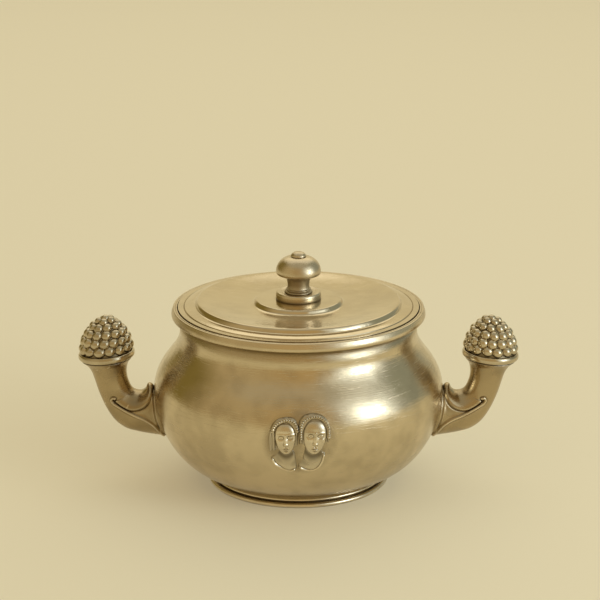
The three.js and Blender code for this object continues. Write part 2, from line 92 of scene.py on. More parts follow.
# Knob
HOLE_R = 2.3
SHANK_R = 2
KNOB_BASE_R = 14.6
KNOB_BASE_TOP_Z = 127.2
BUN_DISH_Z = 126.4
COLLAR_R = 8.6
RING_R = 7.8
WAIST_R = 6.9
SPOOL_TOP_R = 8.6
SPOOL_TOP_Z = 138.1
STEM_SHADE = 0.6
CAP_R = 14.5
CAP_WIDEST_Z = 140.2
CAP_TOP_Z = 150.1
BUTTON_R = 5.2
BUTTON_TOP_Z = 153.35
WASHER_R = 6
WASHER_Z = (119.1, 120.1)
NUT_R = 4.6
NUT_Z = (115.6, 118.8)
SHANK_END_Z = 114.6

# Handles: the horn's top and underside in side view, in X and Z, point against point
HORN_TOP = [(80, 64.3), (88, 63.8), (95, 62), (99.3, 60.3), (103.2, 59.3), (106.6, 60),
            (109, 62.2), (110.9, 66.6), (111.8, 71), (111.7, 75), (110.7, 79), (108.4, 82.4)]
HORN_UNDER = [(80, 27.6), (88, 28.8), (97, 30.1), (105, 31.6), (113, 34), (120, 39.3),
              (125.6, 47.8), (129.9, 57.8), (132.6, 66.6), (134.6, 72.6), (137.2, 76.8),
              (140.9, 80)]
HORN_ROWS = 260
HORN_SIDES = 176
HORN_START = (0.02, 0.25, 0.5, 0.75)  # narrower rounds that close the end inside the bowl
HORN_CUT = 4.2  # the horn's end over the seat, inside the saucer
HORN_WIDTH_SHARE = 0.86  # width over height, up to where the horn turns round under the saucer
HEM_LINE = [(94.0, 64.5), (94.7, 61.6), (95.4, 58.6), (97.2, 54.7), (100.7, 51.1), (105.3, 49.1),
            (109.8, 49.0), (114.8, 51.2), (118.6, 53.9)]
RIDGE_LINE = [(119.2, 56.6), (120.8, 56.6), (121.6, 55.0), (120.4, 53.1), (118.4, 51.8),
              (111.4, 48.0), (105.5, 45.3), (99.7, 43.0), (95.0, 39.9), (91.7, 36.0), (88.0, 30.5)]
LOBE_LINE = [(94.9, 59.0), (94.1, 52.3), (92.9, 43.4), (90.2, 34.5)]
VOLUTE_EYE = (119.1, 54.4)
VOLUTE_EYE_R = 0.75
LEAF_DEPTH = 0.5  # the leaf's face below the horn's
LEAF_BED = 1.7  # the horn's skin under the leaf
LEAF_T = 0.7
LEAF_DIVE = 3
HEM_ROLL = 1.0
HEM_ROLL_IN = 1.5  # from the hem's edge to the top of its roll
RIDGE_W = 2.0
RIDGE_RISE = 1.5
LOBE_DEPTH = 0.8
CLEAR_X = (95, 99)  # where the hem comes clear of the bowl's shadow
TIP_X = 96.7
TIP_RISE = 2.7
TIP_LENGTH = 2.3
TIP_WIDTH = 4.6

# Finials
SEAT = (124.2, 0, 78)
FINIAL_LEAN = math.radians(4.5)
SAUCER_R = 18.4
SAUCER_BASE = 3.6
SAUCER_TOP = 8.7
STUD_HOLE_R = 2.7
CLUSTER_R = 18
CLUSTER_H = 24
CLUSTER_BASE = 8.7
CLUSTER_SHOULDER = 2.1
CLUSTER_POINT = 0.76
CLUSTER_SKEW = 0.07  # inwards for each millimetre of height
BERRY_ROWS = [(3.4, 14, 0), (8.8, 14, 0.5), (13.8, 12, 0.2), (18.0, 9, 0.6),
              (21.3, 5, 0.1)]  # height, number of berries, stagger
BERRY_PLUMP = 1.12  # a berry's width over the room it has in its row
BERRY_TALL = 3.5  # the most that a berry stands out, from its middle
BERRY_GAP_SHADE = 0.85
BERRY_GAP = (1.3, 2.5)  # depth below the outline where a gap starts to darken, and is dark
TOP_BERRY = (2.9, 2.9, 2.6)
TOP_BERRY_DROP = 2.5
CORE_GAP = 2.3  # the core below the berries' outline
FINIAL_SEED = 4

# Busts, on the belly in X and Z
BUST_CELL = 0.2
BUST_SINK = -0.6
EDGE_SINK = -0.4  # where hair, neck and collar start, under the bowl's face
NOWHERE = -9  # the rise of what isn't there
BUST_T = 0.6
FACE_RISE = 2.35
# Painted shade in the relief's hollows
HOLLOW_SHADES = [(14, 0.5), (3, 0.09)]  # how wide to look round a place, and how deep is fully dark
HAIR_ROUND = 2.4
STRAND_RISE = 0.1
STRAND_PITCH = 1.0
# How dark the relief is painted: painted shade, partly stains and oxide, on the hair, the neck and
# what lies low
HAIR_STAIN_AND_SHADE = 0.4
NECK_STAIN_AND_SHADE = 0.25
LOW_OXIDE_AND_SHADE = 0.55
MOST_DARKENING = 0.85
LIP_W = 1.0
LOCK_W = 0.8
LEFT_BUST = {
    "face": (-8.1, 59.7),
    "half": (6.6, 10.0),
    "lean": math.radians(-3),
    "hair": [(-17.6, 52.0), (-18.3, 57.0), (-18.2, 62.5), (-16.8, 68.1), (-13.3, 72.1),
             (-8.0, 73.7), (-3.6, 73.4), (-1.0, 71.0), (-0.35, 66.0), (-0.35, 56.0)],
    "rope": [(-15.9, 64.6), (-14.6, 67.5), (-12.1, 69.9), (-7.9, 71.5),
             (-3.9, 71.1), (-1.7, 69.2), (-0.7, 65.5)],
    "locks": [[(-15.6, 66.4), (-15.2, 60.0), (-14.9, 53.2)],
              [(-16.9, 64.6), (-17.2, 59.0), (-16.8, 52.8)]],
    "collar": [(-16.6, 47.6), (-14.3, 43.3), (-11.0, 41.0), (-7.9, 39.5), (-4.6, 38.7),
               (-1.1, 40.0)],
    "nape": [(-0.9, 44.5), (-1.8, 48.0), (-2.6, 53.0), (-12.0, 53.5), (-14.0, 50.0)],
    "box": (-19.4, -0.15, 37.6, 74.9),
}
RIGHT_BUST = {
    "face": (9.9, 60.5),
    "half": (7.3, 11.0),
    "lean": math.radians(3),
    "hair": [(0.35, 57.0), (0.0, 64.0), (0.1, 70.4), (2.7, 74.3), (7.6, 75.8), (12.9, 75.2),
             (17.2, 72.2), (19.5, 67.2), (19.7, 61.5), (18.6, 57.5)],
    "rope": [(1.5, 60.5), (1.5, 67.1), (2.6, 70.4), (5.0, 72.4), (9.5, 73.4), (14.0, 72.4),
             (17.1, 69.4), (18.3, 65.7), (18.4, 61.0)],
    "locks": [],
    "collar": [(-0.2, 41.6), (2.7, 39.9), (6.4, 39.0), (9.4, 39.5), (12.0, 41.0), (14.0, 43.7),
               (15.1, 47.0), (15.4, 51.0)],
    "nape": [(14.0, 55.0), (3.5, 55.0), (3.4, 51.0), (2.3, 46.5), (0.3, 44.2)],
    "box": (-0.15, 20.9, 37.9, 77.0),
}
ROPE_W = 1.05
ROPE_PITCH = 1.5

# Round the turned pieces
LARGE_STEPS = 160
SMALL_STEPS = 96


# Working on meshes

def bow(start, pull_out, pull_in, end, steps=10):
    """Points of a profile on a smooth bow from start to end, without its start."""
    knots = [Vector((*point, 0)) for point in (start, pull_out, pull_in, end)]
    return [(point.x, point.y) for point in interpolate_bezier(*knots, steps + 1)][1:]


def turned(profile, steps, closed=True):
    """Turns a profile of radius and height pairs round the upright axis."""
    bm = bmesh.new()
    corners = [bm.verts.new((radius, 0, height)) for radius, height in profile]
    edges = [bm.edges.new(pair) for pair in zip(corners, corners[1:])]
    if closed:
        edges.append(bm.edges.new((corners[-1], corners[0])))
    bmesh.ops.spin(bm, geom=corners + edges, cent=(0, 0, 0), axis=(0, 0, 1), angle=math.tau,
                   steps=steps, use_merge=True)
    bmesh.ops.remove_doubles(bm, verts=bm.verts, dist=1e-4)
    bmesh.ops.recalc_face_normals(bm, faces=bm.faces)
    return bm


def eased(bm, width, sharper_than=28):
    """Rounds over the corners that turn by more than some degrees."""
    limit = math.radians(sharper_than)
    corners = [edge for edge in bm.edges if edge.is_manifold and edge.calc_face_angle() > limit]
    bmesh.ops.bevel(bm, geom=corners, offset=width, offset_type="OFFSET", affect="EDGES",
                    segments=3, profile=0.5, material=-1, clamp_overlap=True)
    return bm


def smooth_line(points, steps=6):
    """A smooth curve through points of any number of coordinates."""
    values = np.array(points, float)
    spans = np.concatenate([values[:1], values, values[-1:]])
    line = []
    for before, start, end, after in zip(spans, spans[1:], spans[2:], spans[3:]):
        pull_out, pull_in = (end - before) / 2, (after - start) / 2
        for step in range(steps):
            t = step / steps
            line.append((2 * t ** 3 - 3 * t ** 2 + 1) * start
                        + (t ** 3 - 2 * t ** 2 + t) * pull_out
                        + (3 * t ** 2 - 2 * t ** 3) * end + (t ** 3 - t ** 2) * pull_in)
    return np.array([*line, values[-1]])


def near_line(places, line):
    """How far each place is from a line, and how far along the line its nearest point is."""
    least = np.full(len(places), 1e9)
    along = np.zeros(len(places))
    run = 0
    for start, end in zip(line, line[1:]):
        way = end - start
        length = np.hypot(*way)
        share = np.clip((places - start) @ way / length ** 2, 0, 1)
        distance = np.hypot(*(places - start - share[:, None] * way).T)
        closer = distance < least
        least = np.where(closer, distance, least)
        along = np.where(closer, run + share * length, along)
        run += length
    return least, along


def within(places, outline):
    """Which of the places lie inside a closed outline."""
    inside = np.zeros(len(places), bool)
    for (x1, z1), (x2, z2) in zip(outline, np.roll(outline, -1, axis=0)):
        if z1 != z2:
            crossing = x1 + (places[:, 1] - z1) * (x2 - x1) / (z2 - z1)
            inside ^= ((z1 > places[:, 1]) != (z2 > places[:, 1])) & (places[:, 0] < crossing)
    return inside


def ramp(value, low, high):
    """0 up to low, 1 from high on, and smooth between them."""
    share = np.clip((value - low) / (high - low), 0, 1)
    return share * share * (3 - 2 * share)


def bead(distance, half_width):
    """The height of a round bead over its middle line, as a share of its rise."""
    return np.sqrt(np.clip(1 - (distance / half_width) ** 2, 0, 1))


def soft(distance, width):
    """1 on a line, and softly down to 0 on both sides of it."""
    return np.exp(-(distance / width) ** 2)


def hump(across, up, width, height):
    """A soft round swelling about a place."""
    return np.exp(-(across / width) ** 2 - (up / height) ** 2)


def moved(bm, amounts):
    """Moves each vertex along its own normal."""
    bm.normal_update()
    for vert, normal, amount in zip(bm.verts, [v.normal.copy() for v in bm.verts], amounts):
        vert.co += normal * float(amount)


def capped(bm):
    """Closes the open ends."""
    edges = [edge for edge in bm.edges if edge.is_boundary]
    bmesh.ops.holes_fill(bm, edges=edges, sides=0)


def patinated_and_shaded(bm, amounts):
    """Notes on each vertex how dark it is painted, from 0 to 1, for oxide and for painted shade.
    """
    layer = bm.verts.layers.float.new("patina_and_shade")
    for vert, amount in zip(bm.verts, amounts):
        vert[layer] = float(amount)


def finished(bm, name, body, material, nodes, turn=0, flat_faces=False):
    """Makes a bmesh in millimetres into a piece in metres that stands for its CAD nodes."""
    place = Matrix.Rotation(turn, 4, "Z") @ Matrix.Scale(MM, 4)
    bmesh.ops.transform(bm, matrix=place, verts=bm.verts)
    mesh = bpy.data.meshes.new(name)
    bm.to_mesh(mesh)
    bm.free()
    mesh.shade_smooth()
    piece = bpy.data.objects.new(name, mesh)
    bpy.context.collection.objects.link(piece)
    piece.data.materials.append(material)
    if flat_faces:
        piece.modifiers.new("even shading", "WEIGHTED_NORMAL")
    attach(piece, body)
    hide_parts(*nodes)
    return piece


def on_both_sides(bm, name, material, part, flat_faces=False):
    """The same piece on the right handle and, turned half round, on the left one."""
    return [finished(bm.copy() if side == "right" else bm, f"{side}_{name}", "pot", material,
                     [f"{side}_{part}"], turn, flat_faces)
            for side, turn in (("right", 0), ("left", math.pi))]


def walled(piece, thickness):
    """Gives a sheet its thickness, inwards."""
    wall = piece.modifiers.new("wall", "SOLIDIFY")
    wall.thickness = thickness * MM
    wall.offset = -1
    wall.thickness_clamp = 1.0


# Materials

WAVE_DEPTH = 0.0009
SCRATCH_DEPTH = 0.00005
GRAIN_DEPTH = 0.00025
LINE_DEPTH = 0.0002
SLANTED_SCRATCHES = ((0.5, 0.69), (-0.35, 0.70), (1.2, 0.72))  # slant, and rarity


def shader_node(tree, kind, settings=None, inputs=None):
    """Adds a node. An input is a plain value, or the output that feeds it."""
    node = tree.nodes.new("ShaderNode" + kind)
    for key, value in (settings or {}).items():
        setattr(node, key, value)
    for key, value in (inputs or {}).items():
        if isinstance(value, bpy.types.NodeSocket):
            tree.links.new(value, node.inputs[key])
        else:
            node.inputs[key].default_value = value
    return node


def maths(tree, operation, *values):
    inputs = dict(enumerate(values))
    return shader_node(tree, "Math", {"operation": operation}, inputs).outputs[0]


def vector_maths(tree, operation, *values):
    node = shader_node(tree, "VectorMath", {"operation": operation}, dict(enumerate(values)))
    return node.outputs["Value" if operation == "LENGTH" else "Vector"]


def spread(tree, value, low, high, to_low=0.0, to_high=1.0):
    """Maps a range of a value to another range."""
    inputs = {0: value, 1: low, 2: high, 3: to_low, 4: to_high}
    return shader_node(tree, "MapRange", {"interpolation_type": "SMOOTHSTEP"}, inputs).outputs[0]


def turning_lines(tree, place, across, around):
    """Fine lines that the lathe leaves round the upright axis, many across and few around."""
    flat = vector_maths(tree, "MULTIPLY", place, (1, 1, 0))
    way = vector_maths(tree, "NORMALIZE", flat)
    wide = vector_maths(tree, "MULTIPLY", way, (around, around, around))
    height = vector_maths(tree, "MULTIPLY", place, (0, 0, across))
    depth = maths(tree, "MULTIPLY", vector_maths(tree, "LENGTH", flat), across)
    return shader_node(tree, "TexNoise", {"noise_dimensions": "4D"},
                       {"Vector": vector_maths(tree, "ADD", wide, height), "W": depth,
                        "Scale": 1.0, "Detail": 4.0, "Roughness": 0.62}).outputs[0]


def streaks(tree, place, turn, along, across, rarity):
    """Thin straight scratches, seen square on from the direction that turn brings to Z.

    Along and across are their numbers to the metre.
    """
    laid = shader_node(tree, "VectorRotate", {"rotation_type": "EULER_XYZ"},
                       {"Vector": place, "Rotation": turn}).outputs[0]
    drawn = vector_maths(tree, "MULTIPLY", laid, (along, across, 0))
    noise = shader_node(tree, "TexNoise", None, {"Vector": drawn, "Scale": 1.0, "Detail": 1.0})
    return spread(tree, noise.outputs[0], rarity, rarity + 0.06)


def scratches(tree, place, facing):
    """Scratches level with the table, and rarer slanted ones over them."""
    lay = math.pi / 2 if facing == "front" else 0
    rub = streaks(tree, place, (lay, 0, 0), 60, 2600, 0.66)
    for slant, rarity in SLANTED_SCRATCHES:
        laid = (lay, slant, 0) if facing == "front" else (lay, 0, slant)
        rub = maths(tree, "MAXIMUM", rub, streaks(tree, place, laid, 45, 1900, rarity))
    return rub


def caught_grime(tree, place, blotches, middle, reach, amount):
    """Grime that years of polishing leave round a raised piece, in uneven blotches."""
    away = vector_maths(tree, "DIVIDE", vector_maths(tree, "SUBTRACT", place, middle), reach)
    ring = spread(tree, vector_maths(tree, "LENGTH", away), 0.9, 1.25, amount, 0.0)
    return maths(tree, "MULTIPLY", ring, spread(tree, blotches, 0.3, 0.6, 0.4, 1.0))


def clouds(tree, place, scale, detail=3.0):
    return shader_node(tree, "TexNoise", None,
                       {"Vector": place, "Scale": scale, "Detail": detail}).outputs[0]


def raised(tree, height, strength, distance, normal=None):
    inputs = {"Height": height, "Strength": strength, "Distance": distance}
    if normal:
        inputs["Normal"] = normal
    return shader_node(tree, "Bump", None, inputs).outputs[0]


def pewter(name, bright, dull, roughness, hollows, hollow_reach, lines=None, wavy=0.5,
           lined=0.4, scratched=0.5, grain=0.0, mottled=0.36, facing="front", grime=None,
           worn_and_highlit=None):
    """Satin pewter: bright on the open faces and dull in the hollows.

    The dull colour in the hollows is painted shade from ambient occlusion, which also darkens
    where pieces meet and partly stands for oxide. The darkness noted on the vertices adds to it.
    Hollows are the shades from which the metal is fully dull and fully bright, looked for within
    a reach in millimetres. Lines are the lathe's, across and around. Grime is its middle, reach
    and amount. worn is the colour of the edges, for wear and partly as a painted highlight.
    """
    material = bpy.data.materials.new(name)
    material.use_nodes = True
    tree = material.node_tree
    shader = tree.nodes["Principled BSDF"]
    shader.inputs["Metallic"].default_value = 1.0
    place = shader_node(tree, "TexCoord").outputs["Object"]

    # Painted shade: ambient occlusion darkens the colour in hollows and where pieces meet, partly
    # standing for oxide
    hollow = shader_node(tree, "AmbientOcclusion", {"samples": 8},
                         {"Distance": hollow_reach * MM}).outputs["AO"]
    noted = shader_node(tree, "Attribute", {"attribute_name": "patina_and_shade"}).outputs["Fac"]
    soot_and_shade = maths(tree, "MAXIMUM", spread(tree, hollow, *hollows, 1.0, 0.0), noted)
    patches = clouds(tree, place, 22.0)
    blotches = clouds(tree, place, 90.0, 5.0)
    if grime:
        soot_and_shade = maths(tree, "MAXIMUM", soot_and_shade, caught_grime(tree, place, blotches, *grime))
    dulling = maths(tree, "MULTIPLY_ADD", patches, 0.6, maths(tree, "MULTIPLY", blotches, 0.4))
    tarnish_and_shade = maths(tree, "MAXIMUM", soot_and_shade, spread(tree, dulling, 0.40, 0.68, 0.0, mottled))
    open_face = (*bright, 1)
    # Painted highlight on the sharpest edges, partly wear that rubs them bright
    if worn_and_highlit:
        edge = shader_node(tree, "NewGeometry").outputs["Pointiness"]
        open_face = shader_node(tree, "Mix", {"data_type": "RGBA"},
                                {"Factor": spread(tree, edge, 0.51, 0.57), "A": (*bright, 1),
                                 "B": (*worn_and_highlit, 1)}).outputs["Result"]
    colour = shader_node(tree, "Mix", {"data_type": "RGBA"},
                         {"Factor": tarnish_and_shade, "A": open_face, "B": (*dull, 1)})
    tree.links.new(colour.outputs["Result"], shader.inputs["Base Color"])

    rub = scratches(tree, place, facing)
    rough = spread(tree, dulling, 0.35, 0.68, roughness - 0.03, roughness + 0.07)
    rough = maths(tree, "MULTIPLY_ADD", soot_and_shade, 0.25, rough)
    rough = maths(tree, "MULTIPLY_ADD", rub, 0.06 * scratched, rough)

    normal = raised(tree, clouds(tree, place, 32.0, 2.0), wavy, WAVE_DEPTH)
    normal = raised(tree, rub, 0.25 * scratched, SCRATCH_DEPTH, normal)
    if grain:
        normal = raised(tree, clouds(tree, place, 900.0, 4.0), grain, GRAIN_DEPTH, normal)
    if lines:
        brushing = turning_lines(tree, place, *lines)
        normal = raised(tree, brushing, lined, LINE_DEPTH, normal)
        smoother = maths(tree, "SUBTRACT", rough, 0.06)
        rough = maths(tree, "MULTIPLY_ADD", brushing, 0.12, smoother)
        shader.inputs["Anisotropic"].default_value = 0.3
        way = shader_node(tree, "Tangent", {"direction_type": "RADIAL", "axis": "Z"}).outputs[0]
        tree.links.new(way, shader.inputs["Tangent"])
    tree.links.new(rough, shader.inputs["Roughness"])
    tree.links.new(normal, shader.inputs["Normal"])
    return material


BRIGHT_PEWTER = (0.66, 0.56, 0.39)
# A lighter pewter for the foot, the relief and the horns' edges: polish, and partly a painted
# highlight
POLISHED_AND_LIT_PEWTER = (0.78, 0.69, 0.52)
SATIN_PEWTER = (0.60, 0.52, 0.37)
# A darker, browner pewter for the horns: a painted reflection of a brown surface, partly an oxide
# tint
BROWNED_REFLECTION_PEWTER = (0.46, 0.365, 0.22)
# The dark colours below are what hollows, gaps and shaded places are painted towards: painted
# shade, partly oxide and dirt
DULL_AND_SHADED_PEWTER = (0.30, 0.24, 0.15)
SOOT_AND_SHADE_PEWTER = (0.12, 0.09, 0.05)
RELIEF_SOOT_AND_SHADE = (0.12, 0.095, 0.055)
BERRY_SOOT_AND_SHADE = (0.16, 0.125, 0.07)

spun_pewter = pewter(
    "spun pewter", BRIGHT_PEWTER, DULL_AND_SHADED_PEWTER, roughness=0.15, hollows=(0.30, 0.85),
    hollow_reach=6, lines=(2600, 5.0), wavy=0.7, lined=0.45, scratched=1.8,
    grime=((0.0012, -0.0935, 0.0575), (0.0205, 0.02, 0.0195), 0.75))
lid_pewter = pewter(
    "turned lid pewter", BRIGHT_PEWTER, DULL_AND_SHADED_PEWTER, roughness=0.085, hollows=(0.25, 0.85),
    hollow_reach=3, lines=(3200, 9.0), wavy=0.25, lined=0.13, scratched=0.9, mottled=0.24,
    facing="top")
knob_pewter = pewter(
    "turned knob pewter", BRIGHT_PEWTER, DULL_AND_SHADED_PEWTER, roughness=0.25, hollows=(0.30, 0.95),
    hollow_reach=4, lines=(4000, 3.0), wavy=0.3, lined=0.25, scratched=0.6)
foot_pewter = pewter(
    "turned foot pewter", POLISHED_AND_LIT_PEWTER, DULL_AND_SHADED_PEWTER, roughness=0.18, hollows=(0.2, 0.8),
    hollow_reach=1.5, lines=(4000, 3.0), wavy=0.3, lined=0.25, scratched=0.6)
horn_pewter = pewter(
    "cast horn pewter", BROWNED_REFLECTION_PEWTER, SOOT_AND_SHADE_PEWTER, roughness=0.26, hollows=(0.15, 0.8),
    hollow_reach=2, wavy=0.4, scratched=0.7, grain=0.08, worn_and_highlit=POLISHED_AND_LIT_PEWTER)
berry_pewter = pewter(
    "cast berry pewter", SATIN_PEWTER, BERRY_SOOT_AND_SHADE, roughness=0.17, hollows=(0.12, 0.75),
    hollow_reach=2, wavy=0.3, scratched=0.2, grain=0.1)
relief_pewter = pewter(
    "cast relief pewter", POLISHED_AND_LIT_PEWTER, RELIEF_SOOT_AND_SHADE, roughness=0.2, hollows=(0.3, 0.95),
    hollow_reach=1.6, wavy=0.15, scratched=0.2, grain=0.06)


# Bowl

def bowl_profile():
    belly = (BELLY_R, BELLY_Z)
    neck = (NECK_R, NECK_BASE_Z)
    lower = bow((BOTTOM_R, BOTTOM_Z), (78, 9.5), (BELLY_R, 37.7), belly, 36)
    upper = bow(belly, (BELLY_R, 82.2), (NECK_R, 87.7), neck, 30)
    return [(0, BOTTOM_Z), (BOTTOM_R, BOTTOM_Z), *lower, *upper, (NECK_R, NECK_TOP_Z)]


bowl_line = bowl_profile()[1:]
bowl_heights = [height for _, height in bowl_line]


def bowl_radius(height):
    """Outer radius of the bowl at a height."""
    i = min(max(bisect.bisect(bowl_heights, height), 1), len(bowl_line) - 1)
    (r1, z1), (r2, z2) = bowl_line[i - 1], bowl_line[i]
    return r1 + (r2 - r1) * min(max((height - z1) / (z2 - z1), 0), 1)


def make_bowl():
    bm = turned(bowl_profile(), LARGE_STEPS, closed=False)
    heights = np.array([vert.co.z for vert in bm.verts])
    # Painted shade under the rim, partly dirt at the rim's joint, and painted shade towards the
    # bottom
    patinated_and_shaded(bm, NECK_SHADE * ramp(heights, NECK_SHADE_Z, NECK_TOP_Z)
              + BASE_SHADE * ramp(-heights, -BASE_SHADE_Z, -BOTTOM_Z - 1))
    bowl = finished(bm, "spun_bowl", "pot", spun_pewter, ["bowl"])
    walled(bowl, WALL)


def make_rim():
    base = NECK_TOP_Z - JOINT_LAP
    inner = NECK_R - WALL
    widest = (RIM_R, base + 1.5)
    shoulder = (RIM_R - 0.8, RIM_TOP_Z - 0.9)
    profile = [
        (inner, base), (RIM_R - 1.4, base),
        *bow((RIM_R - 1.4, base), (RIM_R - 0.5, base), (RIM_R, base + 0.6), widest, 5),
        *bow(widest, (RIM_R, base + 2.7), (RIM_R - 0.5, RIM_TOP_Z - 1.8), shoulder, 7),
        *bow(shoulder, (RIM_R - 0.9, RIM_TOP_Z - 0.3), (RIM_R - 1.2, RIM_TOP_Z),
             (RIM_R - 1.7, RIM_TOP_Z), 5),
        (RIM_LINE_R + 0.3, RIM_TOP_Z), (RIM_LINE_R, RIM_TOP_Z - 0.35),
        (RIM_LINE_R - 0.3, RIM_TOP_Z), (RABBET_R, RIM_TOP_Z), (RABBET_R, LEDGE_Z),
        (inner, LEDGE_Z),
    ]
    finished(eased(turned(profile, LARGE_STEPS), 0.18), "turned_rim", "pot",
             knob_pewter, ["rim_band"], flat_faces=True)


def make_foot():
    roll = FOOT_OUTER_R - 1.5
    waist = FOOT_OUTER_R - 4.5
    lip = FOOT_OUTER_R - 2.4
    top = BOTTOM_Z + 0.3
    profile = [
        (FOOT_INNER_R, 0), (roll, 0),
        *bow((roll, 0), (FOOT_OUTER_R + 0.7, 0.1), (FOOT_OUTER_R + 0.7, 2.9), (roll, 3.1), 14),
        *bow((roll, 3.1), (waist, 3.1), (waist, 4.1), (lip, 4.2), 8),
        *bow((lip, 4.2), (lip + 0.5, 4.3), (lip + 0.3, 5.2), (lip - 0.4, 5.7), 6),
        *bow((lip - 0.4, 5.7), (lip - 1.2, 6.6), (BOTTOM_R + 0.4, 7.6), (BOTTOM_R - 0.4, top), 8),
        (FOOT_INNER_R, top),
    ]
    finished(eased(turned(profile, LARGE_STEPS), 0.15, sharper_than=44), "turned_foot", "pot",
             foot_pewter, ["foot_ring"], flat_faces=True)


# Lid and knob

def make_lid_plate():
    crest = (PLATEAU_R + 0.4, PLATEAU_Z)
    dish_end = (BOSS_R + 4.5, DISH_Z)
    step_foot = (BOSS_R + 1.6, DISH_Z + 0.5)
    land_end = (STEP_R + 2.8, LAND_Z)
    rise_foot = (STEP_R + 0.6, LAND_Z + 0.5)
    profile = [
        (LID_BAND_R, LID_BASE_Z), (LID_R, LID_BASE_Z), (LID_R, LID_EDGE_Z),
        (GROOVE_R + GROOVE_W / 2, LID_EDGE_Z), (GROOVE_R, LID_EDGE_Z - 0.6),
        (GROOVE_R - GROOVE_W / 2, LID_EDGE_Z + 0.25),
        *bow((GROOVE_R - GROOVE_W / 2, LID_EDGE_Z + 0.25), (71.6, 118.2), (70.6, LAND_Z),
             land_end, 6),
        *bow(land_end, (STEP_R + 1.7, LAND_Z), (STEP_R + 1.1, LAND_Z + 0.15), rise_foot, 8),
        *bow(rise_foot, (STEP_R + 0.3, LAND_Z + 1.3), (STEP_R - 0.2, PLATEAU_Z), crest, 10),
        *bow(crest, (61, PLATEAU_Z), (48, DISH_Z + 0.1), dish_end, 24),
        *bow(dish_end, (BOSS_R + 3.2, DISH_Z), (BOSS_R + 2.3, DISH_Z + 0.15), step_foot, 8),
        *bow(step_foot, (BOSS_R + 0.6, DISH_Z + 1.1), (BOSS_R + 0.6, BOSS_Z - 0.4),
             (BOSS_R - 0.8, BOSS_Z), 9),
        (HOLE_R, BOSS_Z), (HOLE_R, BOSS_Z - SHEET), (BOSS_R - 2.3, BOSS_Z - SHEET),
        (BOSS_R, DISH_Z - SHEET), (48, DISH_Z - SHEET + 0.2), (PLATEAU_R - 0.8, PLATEAU_Z - SHEET),
        (STEP_R - SHEET, LAND_Z - SHEET), (LID_BAND_R, LAND_Z - SHEET),
    ]
    finished(eased(turned(profile, LARGE_STEPS), 0.22, sharper_than=38), "turned_lid", "lid",
             lid_pewter, ["lid_plate"], flat_faces=True)


def make_flange():
    top = LID_BASE_Z + JOINT_LAP
    profile = [(FLANGE_R - FLANGE_T, FLANGE_BASE_Z), (FLANGE_R, FLANGE_BASE_Z), (FLANGE_R, top),
               (FLANGE_R - FLANGE_T, top)]
    finished(eased(turned(profile, LARGE_STEPS), 0.3), "lid_locating_ring", "lid",
             lid_pewter, ["lid_flange"], flat_faces=True)


